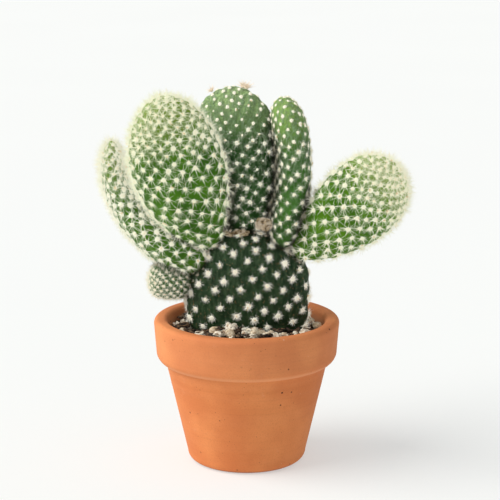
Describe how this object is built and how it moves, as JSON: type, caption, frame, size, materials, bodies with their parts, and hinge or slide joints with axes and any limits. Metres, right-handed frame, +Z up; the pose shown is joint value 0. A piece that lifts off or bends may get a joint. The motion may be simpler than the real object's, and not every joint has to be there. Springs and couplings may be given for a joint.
{
  "type": "potted paddle cactus",
  "caption": "Small paddle cactus with flat upright segments covered in pale bristle tufts, standing in gritty mix in a collared terracotta pot.",
  "frame": {"origin": "middle of the whole outline, on the surface that the pot stands on", "axes": "+Z up, -Y the front as pictured, +X to the right seen from the front"},
  "size_m": [0.1508, 0.09, 0.1833],
  "materials": {
    "terracotta": "unglazed, matte",
    "potting_mix": "rough, granular",
    "old_skin": "dark waxy plant skin with white bristle tufts",
    "mid_skin": "satin plant skin with white bristle tufts",
    "young_skin": "fresh green plant skin with long pale bristles",
    "perlite": "rough",
    "pebble": "smooth, matte",
    "bark": "rough",
    "dry_bud": "dry, woolly"
  },
  "bodies": {
    "root": {"pot": "terracotta", "soil": "potting_mix", "base_paddle": "old_skin", "front_left_paddle": "young_skin", "back_left_paddle": "young_skin", "left_bud": "mid_skin", "back_paddle": "mid_skin", "upright_paddle": "mid_skin", "right_paddle": "young_skin", "perlite_1": "perlite", "perlite_2": "perlite", "perlite_3": "perlite", "perlite_4": "perlite", "perlite_5": "perlite", "perlite_6": "perlite", "perlite_7": "perlite", "perlite_8": "perlite", "perlite_9": "perlite", "perlite_10": "perlite", "pebble_1": "pebble", "pebble_2": "pebble", "pebble_3": "pebble", "pebble_4": "pebble", "pebble_5": "pebble", "pebble_6": "pebble", "pebble_7": "pebble", "bark_chip_1": "bark", "bark_chip_2": "bark", "bark_chip_3": "bark", "bark_chip_4": "bark", "bark_chip_5": "bark", "dry_bud_1": "dry_bud", "dry_bud_2": "dry_bud"}
  },
  "joints": []
}
